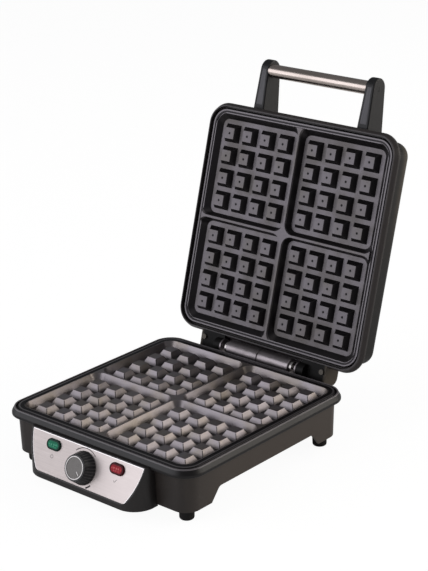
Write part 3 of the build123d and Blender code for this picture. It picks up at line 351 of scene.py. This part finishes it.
def shellTones(resin, tone, look, lid):  # painted light and shade on a shell: its flange, its lighter sides or crown, and a painted highlight along its lip
    x, depth, level = fromParting(resin, lid)
    flange = 1 - level.over(look["flangeEnd"])
    # painted shade darkens the base shell's flange; painted light lightens the lid shell's flange
    tone = resin.tint(tone, flange, look["flangePaintedTone"])
    # painted light: the base shell's sides are lightened, more towards the back
    if "sideLightTone" in look:
        least = look["sideLeast"]
        side = abs(x).over(look["sideSpan"]) * (depth.over(look["sideDepth"]) * (1 - least) + least)
        tone = resin.tint(tone, side * (1 - flange), look["sideLightTone"])
    # painted light: the lid shell's crown is lightened near its sides, more towards the front
    if "crownLightTone" in look:
        crown = abs(x).over(look["crownSpan"]) * (1 - depth.over(look["crownDepth"]))
        tone = resin.tint(tone, crown * level.over(look["crownLevel"]), look["crownLightTone"])
    # painted highlight: a light band along the lip by the parting plane
    return resin.tint(tone, level.band(*look["lip"]) * look["lipHighlightShare"], look["lipHighlightTone"])


def mouldedPlastic(name, look, lid=None):
    resin = Finish(name)
    grain = resin.noise(look["grain"], 2)
    haze = resin.noise(look["haze"], 4)
    dust = resin.noise(plasticWear["dustScale"], 2).ease(*plasticWear["dustFrom"])
    tone = resin.tint(paint(*look["tone"]), haze.ease(*plasticWear["hazeFrom"]), look["toneAlt"])
    tone = resin.tint(tone, dust * look["dust"], plasticWear["dustTone"])
    if lid is not None:
        tone = shellTones(resin, tone, look, lid)
    # painted light: the lugs lighten towards their outer ends
    if "endLightTone" in look:
        tone = resin.tint(tone, abs(resin.axes()[0]).over(look["endSpan"]), look["endLightTone"])
    if "ribs" in look:
        # painted highlight along the knob's ribs
        tone = resin.tint(tone, fluteShade(resin, look) * look["ribHighlightShare"], look["ribHighlightTone"])
    rough = look["rough"] + (haze - 0.5) * look["roughSpread"] + grain * plasticWear["grainRough"]
    normal = resin.bump(grain, look["bump"] * mm, plasticWear["bumpStrength"])
    return resin.shade(colour=tone, rough=rough, normal=normal, spec=look["spec"])


# the base and lid shells are one plastic; the base shell's lighter tone is painted light and the lid shell's
# darker tone painted shade
baseShell = {
    "tone": (50, 45, 43), "toneAlt": (58, 52, 48), "grain": 1300, "haze": 16, "dust": 0.10,
    "rough": 0.36, "roughSpread": 0.14, "bump": 0.03, "spec": 0.38,
    "lip": (0.9, 0.45, 0.3), "lipHighlightShare": 0.75, "lipHighlightTone": (132, 127, 130),
    "flangeEnd": (9.3, 9.8), "flangePaintedTone": (26, 24, 25),
    "sideSpan": (116, 123), "sideDepth": (-128, -60), "sideLeast": 0.3, "sideLightTone": (80, 72, 66),
}
lidShell = {
    "tone": (22, 20, 19), "toneAlt": (29, 27, 25), "grain": 1300, "haze": 16, "dust": 0.10,
    "rough": 0.38, "roughSpread": 0.14, "bump": 0.03, "spec": 0.24,
    "lip": (0.9, 0.45, 0.3), "lipHighlightShare": 0.6, "lipHighlightTone": (98, 94, 96),
    "flangeEnd": (9.3, 9.8), "flangePaintedTone": (62, 58, 58),
    "crownSpan": (108, 122), "crownDepth": (-120, 20), "crownLevel": (24, 38), "crownLightTone": (88, 81, 71),
}
controlBox = {
    "tone": (34, 31, 31), "toneAlt": (42, 38, 37), "grain": 1300, "haze": 16, "dust": 0.10,
    "rough": 0.36, "roughSpread": 0.14, "bump": 0.03, "spec": 0.5,
}
lugs = {
    "tone": (13, 12, 12), "toneAlt": (18, 17, 16), "grain": 1100, "haze": 20, "dust": 0.10,
    "rough": 0.48, "roughSpread": 0.12, "bump": 0.04, "spec": 0.15,
    "endSpan": (88, 91.5), "endLightTone": (86, 79, 70),
}
arms = {
    "tone": (29, 29, 31), "toneAlt": (35, 35, 37), "grain": 1500, "haze": 24, "dust": 0.10,
    "rough": 0.40, "roughSpread": 0.14, "bump": 0.03, "spec": 0.34,
}
knobSkirt = {
    "tone": (30, 30, 32), "toneAlt": (36, 36, 38), "grain": 1600, "haze": 60, "dust": 0.08,
    "rough": 0.34, "roughSpread": 0.10, "bump": 0.02, "spec": 0.5,
    "ribs": 30, "ribFrom": (0.1, 0.9), "faceEdge": (13.9, 14.5), "ribHighlightShare": 0.8, "ribHighlightTone": (92, 89, 90),
}
rubbers = {
    "tone": (26, 25, 25), "toneAlt": (34, 32, 31), "grain": 900, "haze": 90, "dust": 0.25,
    "rough": 0.72, "roughSpread": 0.10, "bump": 0.05, "spec": 0.3,
}
blockBody = {
    "tone": (222, 216, 204), "toneAlt": (206, 199, 186), "grain": 700, "haze": 80, "dust": 0.10,
    "rough": 0.60, "roughSpread": 0.10, "bump": 0.03, "spec": 0.4,
}
thermostatCase = {
    "tone": (96, 62, 44), "toneAlt": (84, 54, 40), "grain": 900, "haze": 70, "dust": 0.10,
    "rough": 0.50, "roughSpread": 0.12, "bump": 0.03, "spec": 0.4,
}
wear("base_housing", mouldedPlastic("baseHousingPlastic", baseShell, False))
wear("lid_housing", mouldedPlastic("lidHousingPlastic", lidShell, True))
for look, name, wearers in (
    (controlBox, "controlBoxPlastic", ("control_housing",)),
    (lugs, "lugPlastic", ("hinge_lug_left", "hinge_lug_right")),
    (arms, "armPlastic", ("handle_arm_left", "handle_arm_right", "handle_end_plugs")),
    (knobSkirt, "knobPlastic", ("control_knob",)),
    (rubbers, "footRubber", ("rubber_feet", "inlet_bush")),
    (blockBody, "terminalCeramic", ("terminal_block", "thermal_cutout")),
    (thermostatCase, "thermostatResin", ("thermostat_body",)),
):
    moulded = mouldedPlastic(name, look)
    for wearer in wearers:
        wear(wearer, moulded)
print("plastics done")


metalWear = {
    "lineFrom": (0.3, 0.7), "stainFrom": (0.45, 0.75), "scratchStretch": 0.35, "scratchFrom": (0.66, 0.72),
    "scratchRough": 0.06, "cloudRough": 0.06, "bumpStrength": 0.5,
}


def brushedMetal(name, look):
    sheet = Finish(name)
    lines = sheet.noise(1.0, 3, 0.6, look["stretch"])
    cloud = sheet.noise(look["cloud"], 3)
    coarse = tuple(value * metalWear["scratchStretch"] for value in look["stretch"])
    scratch = sheet.noise(1.0, 2, 0.5, coarse).ease(*metalWear["scratchFrom"])
    tone = sheet.tint(paint(*look["tone"]), lines.ease(*metalWear["lineFrom"]), look["toneAlt"])
    tone = sheet.tint(tone, cloud.ease(*metalWear["stainFrom"]) * look["stain"], look["stainTone"])
    if "edgeHighlightTone" in look:
        # painted light: the panel lightens towards its right
        farLight = sheet.axes()[0].over(look["farSpan"])
        tone = sheet.tint(tone, farLight * look["farLightShare"], look["farLightTone"])
        # painted highlight along the panel's rolled top and side edges
        tone = sheet.tint(tone, panelEdge(sheet), look["edgeHighlightTone"])
    if "pointer" in look:
        along, aside = pointerAxes(sheet, look["pointer"])
        length = along.over(look["pointerStart"]) * (1 - along.over(look["pointerEnd"]))
        tone = sheet.tint(tone, length * aside.band(*look["pointerLine"]), look["pointerTone"])
        tone = sheet.tint(tone, length * aside.band(*look["pointerFlank"]), look["pointerShade"])
    rough = look["rough"] + (lines - 0.5) * look["roughSpread"] + scratch * metalWear["scratchRough"]
    rough = rough + (cloud - 0.5) * metalWear["cloudRough"]
    normal = sheet.bump(lines, look["bump"] * mm, metalWear["bumpStrength"])
    return sheet.shade(colour=tone, rough=rough, metal=look["metal"], normal=normal)


fasciaSheet = {
    "tone": (196, 187, 184), "toneAlt": (184, 175, 172), "stretch": (25, 2600, 2600), "cloud": 30,
    "stain": 0.10, "stainTone": (164, 154, 152), "rough": 0.40, "roughSpread": 0.10, "bump": 0.01,
    "metal": 0.85, "edgeHighlightTone": (250, 246, 245),
    "farSpan": (-20, 75), "farLightShare": 0.7, "farLightTone": (224, 214, 211),
}
gripTube = {
    "tone": (214, 202, 194), "toneAlt": (186, 174, 166), "stretch": (18, 2200, 2200), "cloud": 40,
    "stain": 0.15, "stainTone": (150, 138, 130), "rough": 0.24, "roughSpread": 0.12, "bump": 0.01,
    "metal": 1.0,
}
hingeSteel = {
    "tone": (156, 149, 152), "toneAlt": (134, 128, 130), "stretch": (22, 1500, 1500), "cloud": 60,
    "stain": 0.35, "stainTone": (60, 54, 50), "rough": 0.34, "roughSpread": 0.12, "bump": 0.015,
    "metal": 0.95,
}
brightSteel = {
    "tone": (196, 192, 190), "toneAlt": (170, 166, 164), "stretch": (900, 900, 900), "cloud": 90,
    "stain": 0.25, "stainTone": (112, 104, 98), "rough": 0.26, "roughSpread": 0.10, "bump": 0.01,
    "metal": 1.0,
}
screwSteel = {
    "tone": (92, 88, 82), "toneAlt": (72, 69, 65), "stretch": (1500, 1500, 1500), "cloud": 200,
    "stain": 0.35, "stainTone": (62, 58, 56), "rough": 0.42, "roughSpread": 0.12, "bump": 0.01,
    "metal": 0.95,
}
elementTube = {
    "tone": (92, 84, 80), "toneAlt": (74, 66, 62), "stretch": (500, 500, 500), "cloud": 35,
    "stain": 0.5, "stainTone": (70, 58, 74), "rough": 0.46, "roughSpread": 0.16, "bump": 0.02,
    "metal": 0.9,
}
reflectorSheet = {
    "tone": (176, 176, 176), "toneAlt": (158, 158, 160), "stretch": (30, 900, 900), "cloud": 25,
    "stain": 0.35, "stainTone": (128, 118, 104), "rough": 0.34, "roughSpread": 0.14, "bump": 0.01,
    "metal": 0.95,
}
armStrip = {
    "tone": (84, 83, 86), "toneAlt": (72, 71, 74), "stretch": (1400, 60, 60), "cloud": 60,
    "stain": 0.2, "stainTone": (60, 59, 61), "rough": 0.42, "roughSpread": 0.12, "bump": 0.01,
    "metal": 0.4,
}
nutBrass = {
    "tone": (196, 160, 96), "toneAlt": (172, 138, 80), "stretch": (1200, 1200, 1200), "cloud": 120,
    "stain": 0.3, "stainTone": (120, 92, 54), "rough": 0.32, "roughSpread": 0.10, "bump": 0.01,
    "metal": 1.0,
}
ringChrome = {
    "tone": (176, 173, 171), "toneAlt": (160, 157, 155), "stretch": (1600, 1600, 1600), "cloud": 160,
    "stain": 0.10, "stainTone": (128, 124, 120), "rough": 0.16, "roughSpread": 0.06, "bump": 0.004,
    "metal": 1.0,
}
capGrey = {
    "tone": (118, 115, 112), "toneAlt": (108, 105, 102), "stretch": (1500, 1500, 1500), "cloud": 140,
    "stain": 0.2, "stainTone": (92, 89, 86), "rough": 0.38, "roughSpread": 0.08, "bump": 0.01,
    "metal": 0.4, "pointer": -42.0, "pointerStart": (4.6, 5.0), "pointerEnd": (9.6, 10.0),
    "pointerLine": (0.2, 0.45, 0.2), "pointerTone": (214, 211, 208),
    "pointerFlank": (-0.9, 0.4, 0.2), "pointerShade": (34, 33, 33),
}
for look, name, wearers in (
    (fasciaSheet, "fasciaSteel", ("control_fascia",)),
    (gripTube, "gripSteel", ("handle_bar",)),
    (hingeSteel, "hingeSteel", ("hinge_sleeves", "hinge_brackets")),
    (brightSteel, "brightSteel", ("hinge_rod", "hinge_collars", "handle_tie_rod", "thermostat_shaft")),
    (screwSteel, "screwSteel", (
        "cover_screws", "lower_plate_screws", "upper_plate_screws", "hinge_bracket_screws",
        "lug_fixing_screws", "lug_face_screws", "handle_arm_screws", "handle_end_screws",
    )),
    (elementTube, "elementSteel", (
        "lower_heating_element", "upper_heating_element", "lower_element_clips", "upper_element_clips",
    )),
    (reflectorSheet, "reflectorSheet", ("lower_reflector", "upper_reflector", "bottom_cover")),
    (armStrip, "armStripMetal", ("handle_arm_strips",)),
    (nutBrass, "nutBrass", ("thermostat_nut",)),
    (ringChrome, "ringChrome", ("knob_ring",)),
    (capGrey, "capGrey", ("knob_cap",)),
):
    metal = brushedMetal(name, look)
    for wearer in wearers:
        wear(wearer, metal)
print("metals done")


lamps = {
    "green": {
        "node": "power_lamp_lens", "side": -1,
        "deep": (0, 52, 40), "bright": (0, 136, 98), "paintedGlint": (120, 214, 180),
    },
    "red": {
        "node": "ready_lamp_lens", "side": 1,
        "deep": (70, 6, 14), "bright": (184, 30, 46), "paintedGlint": (240, 132, 128),
    },
}
lens = {
    "straight": 4.0, "rim": (3.2, 4.2), "facetScale": 330.0, "facetLoose": 0.25,
    "facetFrom": (0.25, 0.7), "facetShare": 0.4, "facetBump": 0.35, "bumpStrength": 0.6,
    "paintedGlintFrom": (0.05, 0.45), "paintedGlintReach": (1.8, 2.8), "paintedGlintShare": 0.8,
    "hazeScale": 600, "rough": 0.22, "roughSpread": 0.08, "spec": 0.16,
}


def lensFinish(name, lamp):  # tinted prism lens, dark at its rim and light over the lamp
    glass = Finish(name)
    across, rise = panelAxes(glass, lamp["side"] * panel["lampPlace"], panel["lampRise"])
    run = (abs(across) - lens["straight"] * mm).larger(0.0)
    spread = (run * run + rise * rise).root()
    facet = glass.node(
        "ShaderNodeTexVoronoi", {"feature": "F1", "distance": "CHEBYCHEV"},
        {"Vector": glass.place(), "Scale": lens["facetScale"], "Randomness": lens["facetLoose"]},
    )
    tone = glass.tint(paint(*lamp["bright"]), spread.over(lens["rim"]), lamp["deep"])
    tone = glass.tint(tone, facet.ease(*lens["facetFrom"]) * lens["facetShare"], lamp["deep"])
    # painted glints: light spots on the facets over the middle of the lens
    paintedGlint = (1 - facet.ease(*lens["paintedGlintFrom"])) * (1 - spread.over(lens["paintedGlintReach"]))
    tone = glass.tint(tone, paintedGlint * lens["paintedGlintShare"], lamp["paintedGlint"])
    rough = lens["rough"] + glass.noise(lens["hazeScale"], 2) * lens["roughSpread"]
    normal = glass.bump(facet, lens["facetBump"] * mm, lens["bumpStrength"])
    return glass.shade(colour=tone, rough=rough, normal=normal, spec=lens["spec"])


for hue, lamp in lamps.items():
    wear(lamp["node"], lensFinish(hue + "Lens", lamp))


neons = {
    "tone": (226, 196, 176), "toneAlt": (204, 160, 134), "streakScale": 900,
    "rough": 0.12, "roughSpread": 0.05, "spec": 0.6,
}


def neonFinish():
    bulb = Finish("neonGlass")
    streak = bulb.noise(neons["streakScale"], 2)
    tone = bulb.tint(paint(*neons["tone"]), streak, neons["toneAlt"])
    rough = neons["rough"] + streak * neons["roughSpread"]
    return bulb.shade(colour=tone, rough=rough, spec=neons["spec"])


wear("indicator_neons", neonFinish())


printed = {  # places, radii and widths in mm on the panel; turns are start and end in degrees, and steps
    "lift": 0.03,
    "arcRadius": 20.9,
    "scaleTurns": (134, 50, 40),
    "scaleWidth": 0.9,
    "endTurns": (-44, -64, 12),
    "endWidth": 1.7,
    "dotPlace": (-22.4, -10.2),
    "dotRadius": 0.45,
    "dotTurns": (0, 360, 12),
    "dotWidth": 0.9,
    "symbolDrop": 12.6,
    "ringRadius": 1.9,
    "ringTurns": (125, 415, 24),
    "ringWidth": 0.45,
    "ringStroke": (0.4, 2.6),
    "tickWidth": 0.5,
    "tickStrokes": (((-2.0, 0.0), (-0.5, -1.6)), ((-0.6, -1.6), (2.3, 1.9))),
    "tone": (58, 54, 56),
    "toneAlt": (74, 69, 71),
    "screenScale": 2600,
    "screenFrom": (0.4, 0.7),
    "rough": 0.55,
    "roughSpread": 0.1,
    "bump": (0.004, 0.4),
}


def inkFinish():
    ink = Finish("printedInk")
    screen = ink.noise(printed["screenScale"], 2)
    tone = ink.tint(paint(*printed["tone"]), screen.ease(*printed["screenFrom"]), printed["toneAlt"])
    rough = printed["rough"] + screen * printed["roughSpread"]
    bumpDepth, strength = printed["bump"]
    normal = ink.bump(screen, bumpDepth * mm, strength)
    return ink.shade(colour=tone, rough=rough, normal=normal)


def inkStrip(mesh, points, width):  # a printed line through points on the panel
    rows = ([], [])
    for index, point in enumerate(points):
        before = points[max(index - 1, 0)]
        after = points[min(index + 1, len(points) - 1)]
        along = Vector((after[0] - before[0], after[1] - before[1])).normalized()
        for aside, row in zip((width / 2, -width / 2), rows):
            edge = (point[0] - along.y * aside, point[1] + along.x * aside)
            row.append(mesh.verts.new(onPanel(edge[0], edge[1], printed["lift"])))
    left, right = rows
    for index in range(len(points) - 1):
        mesh.faces.new((left[index], right[index], right[index + 1], left[index + 1]))


def around(centre, radius, start, end, steps):
    turns = [math.radians(start + (end - start) * step / steps) for step in range(steps + 1)]
    return [(centre[0] + radius * math.cos(turn), centre[1] + radius * math.sin(turn)) for turn in turns]


def printedMarks():
    mesh = bmesh.new()
    knob = (0, panel["knobRise"])
    dot = (knob[0] + printed["dotPlace"][0], knob[1] + printed["dotPlace"][1])
    power = (-panel["lampPlace"], panel["lampRise"] - printed["symbolDrop"])
    ready = (panel["lampPlace"], power[1])
    inkStrip(mesh, around(knob, printed["arcRadius"], *printed["scaleTurns"]), printed["scaleWidth"])
    inkStrip(mesh, around(knob, printed["arcRadius"], *printed["endTurns"]), printed["endWidth"])
    inkStrip(mesh, around(dot, printed["dotRadius"], *printed["dotTurns"]), printed["dotWidth"])
    inkStrip(mesh, around(power, printed["ringRadius"], *printed["ringTurns"]), printed["ringWidth"])
    inkStrip(mesh, [(power[0], power[1] + rise) for rise in printed["ringStroke"]], printed["ringWidth"])
    for stroke in printed["tickStrokes"]:
        points = [(ready[0] + across, ready[1] + rise) for across, rise in stroke]
        inkStrip(mesh, points, printed["tickWidth"])
    marks = meshPiece("panelMarks", mesh, inkFinish())
    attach(marks, "base")
    return marks


printedMarks()
print("control panel done")


hingeWeb = {  # wall between the lugs behind the sleeves; depth and level in mm as in fromParting
    "halfWidth": 56.8, "wallDepth": 126.8, "edgeDepth": 147.5, "level": 10.6, "thickness": 2.2,
    "round": 0.7, "roundSteps": 4,
}
# painted light: the wall stands for the lid shell's rear wall, in a much lighter tone than the lid shell
webLitPlastic = {
    "tone": (88, 83, 85), "toneAlt": (98, 93, 95), "grain": 1300, "haze": 30, "dust": 0.10,
    "rough": 0.40, "roughSpread": 0.12, "bump": 0.03, "spec": 0.5,
}


def lidPoint(x, depth, level):  # from mm on the closed lid to its place on the open one
    turn = math.radians(hinge["opening"])
    behind = depth - hinge["depth"]
    return Vector((
        x, hinge["depth"] + behind * math.cos(turn) + level * math.sin(turn),
        hinge["height"] - behind * math.sin(turn) + level * math.cos(turn),
    )) * mm


def wallBetweenLugs():
    mesh = bmesh.new()
    low = hingeWeb["level"]
    high = low + hingeWeb["thickness"]
    corner = hingeWeb["round"]
    profile = [(hingeWeb["wallDepth"], low)]
    for level, start in ((low + corner, -90), (high - corner, 0)):
        middle = (hingeWeb["edgeDepth"] - corner, level)
        profile += around(middle, corner, start, start + 90, hingeWeb["roundSteps"])
    profile.append((hingeWeb["wallDepth"], high))
    ends = []
    for x in (-hingeWeb["halfWidth"], hingeWeb["halfWidth"]):
        ends.append([mesh.verts.new(lidPoint(x, depth, level)) for depth, level in profile])
    for index in range(len(profile)):
        after = (index + 1) % len(profile)
        mesh.faces.new((ends[0][index], ends[0][after], ends[1][after], ends[1][index]))
    mesh.faces.new(ends[0])
    mesh.faces.new(ends[1])
    bmesh.ops.recalc_face_normals(mesh, faces=mesh.faces)
    web = meshPiece("hingeWeb", mesh, mouldedPlastic("hingeWebLitPlastic", webLitPlastic))
    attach(web, "lid")
    return web


wallBetweenLugs()
print("wall between the hinge lugs done")


roundings = {  # mm of rounding on the sharp edges of each solid
    "lower_plate": 0.5,
    "upper_plate": 0.5,
    "control_fascia": 0.25,
    "hinge_lug_left": 0.4,
    "hinge_lug_right": 0.4,
    "hinge_brackets": 0.3,
    "hinge_collars": 0.3,
    "knob_ring": 0.25,
    "knob_cap": 0.12,
    "handle_arm_strips": 0.15,
}
edgeWork = {"weldReach": 0.00001, "segments": 2, "sharpFrom": 24}
for node, amount in roundings.items():
    solid = cadNodes[node]
    weld = solid.modifiers.new("weld", "WELD")
    weld.merge_threshold = edgeWork["weldReach"]
    soft = solid.modifiers.new("rounding", "BEVEL")
    soft.width = amount * mm
    soft.segments = edgeWork["segments"]
    soft.limit_method = "ANGLE"
    soft.angle_limit = math.radians(edgeWork["sharpFrom"])
    soft.harden_normals = False
    even = solid.modifiers.new("evenShading", "WEIGHTED_NORMAL")
    even.mode = "FACE_AREA"
    even.keep_sharp = True
print("edges rounded")


studio = {
    "floorHalf": 6.0,
    "floorLevel": -0.0002,
    "floorTone": (246, 246, 246),
    "floorAlt": (250, 250, 250),
    "fibreScale": 140,
    "floorShare": 0.84,
    "floorWhite": 1.12,
    "floorGloss": 0.12,
    "worldTone": (206, 208, 214),
    "worldLevel": 0.16,
    "glossLevel": 0.06,
}
white = (1, 1, 1, 1)


def studioFloor():
    mesh = bmesh.new()
    half = studio["floorHalf"]
    corners = ((-half, -half), (half, -half), (half, half), (-half, half))
    mesh.faces.new([mesh.verts.new((x, y, studio["floorLevel"])) for x, y in corners])
    card = Finish("floorCard")
    tone = card.tint(paint(*studio["floorTone"]), card.noise(studio["fibreScale"], 3), studio["floorAlt"])
    matte = card.node("ShaderNodeBsdfDiffuse", {}, {"Color": tone})
    glow = card.node("ShaderNodeEmission", {}, {"Color": white, "Strength": studio["floorWhite"]})
    seen, gloss, passed = card.rays()
    share = (seen + passed) * studio["floorShare"] + gloss * studio["floorGloss"]
    both = card.node("ShaderNodeMixShader", {}, {0: share.smaller(studio["floorShare"]), 1: matte, 2: glow})
    card.node("ShaderNodeOutputMaterial", {}, {"Surface": both})
    floor = meshPiece("studioFloor", mesh, card.holder)


def studioWorld():
    world = bpy.data.worlds.new("studioWorld")
    bpy.context.scene.world = world
    sky = Finish("studioWorld", world)
    seen, gloss, passed = sky.rays()
    dimLook = {"Color": paint(*studio["worldTone"]), "Strength": studio["worldLevel"]}
    dim = sky.node("ShaderNodeBackground", {}, dimLook)
    bright = sky.node("ShaderNodeBackground", {}, {"Color": white, "Strength": 1.0})
    share = (seen + passed + gloss * studio["glossLevel"]).smaller(1.0)
    both = sky.node("ShaderNodeMixShader", {}, {0: share, 1: dim, 2: bright})
    sky.node("ShaderNodeOutputWorld", {}, {"Surface": both})


lights = {  # places, aims and sizes in metres, power in watts
    "frontBox": {
        "place": (-1.7, -2.4, 1.0), "aim": (0, 0, 0.15), "size": (4.6, 2.4), "power": 56,
        "tint": (0.95, 0.95, 1.0),
    },
    "sideBox": {
        "place": (1.9, 1.6, 0.9), "aim": (0, 0, 0.1), "size": (2.2, 1.6), "power": 25,
        "tint": (1.0, 0.94, 0.86),
    },
    "backBox": {
        "place": (0.9, 2.6, 2.0), "aim": (0, 0.1, 0.2), "size": (1.8, 1.4), "power": 10,
        "tint": (1.0, 0.97, 0.93),
    },
    "topBox": {
        "place": (0.3, -0.5, 2.6), "aim": (0, 0, 0), "size": (2.0, 2.0), "power": 5,
        "tint": (1.0, 0.98, 0.96),
    },
}


def softLight(name, look):
    lamp = bpy.data.lights.new(name, "AREA")
    lamp.shape = "RECTANGLE"
    lamp.size, lamp.size_y = look["size"]
    lamp.energy = look["power"]
    lamp.color = look["tint"]
    holder = bpy.data.objects.new(name, lamp)
    bpy.context.scene.collection.objects.link(holder)
    holder.location = look["place"]
    holder.rotation_euler = (Vector(look["aim"]) - Vector(look["place"])).to_track_quat("-Z", "Y").to_euler()


photoView = {  # angles in degrees, aim in mm, distance and clip in metres, focal length in pixels
    "azimuth": 41.232, "elevation": 20.333, "roll": -1.157, "aim": (56.6, 0, 207.96), "distance": 1.8039,
    "focal": 1732.8, "pictureHeight": 571, "sensor": 36, "clip": (0.05, 60),
}


def photoCamera():
    azimuth, elevation, roll = (math.radians(photoView[name]) for name in ("azimuth", "elevation", "roll"))
    level = math.cos(elevation)
    back = Vector((level * math.sin(azimuth), -level * math.cos(azimuth), math.sin(elevation)))
    right = Vector((math.cos(azimuth), math.sin(azimuth), 0))
    up = back.cross(right)
    rolledRight = right * math.cos(roll) + up * math.sin(roll)
    rolledUp = up * math.cos(roll) - right * math.sin(roll)
    eye = bpy.data.cameras.new("photoCamera")
    eye.lens = photoView["focal"] / photoView["pictureHeight"] * photoView["sensor"]
    eye.sensor_width = photoView["sensor"]
    eye.clip_start, eye.clip_end = photoView["clip"]
    holder = bpy.data.objects.new("photoCamera", eye)
    bpy.context.scene.collection.objects.link(holder)
    spot = Vector(photoView["aim"]) * mm + back * photoView["distance"]
    turn = Matrix((rolledRight, rolledUp, back)).transposed().to_4x4()
    holder.matrix_world = Matrix.Translation(spot) @ turn
    bpy.context.scene.camera = holder


studioFloor()
studioWorld()
for name, look in lights.items():
    softLight(name, look)
photoCamera()
bpy.context.scene.view_settings.view_transform = "Standard"
print("studio set")
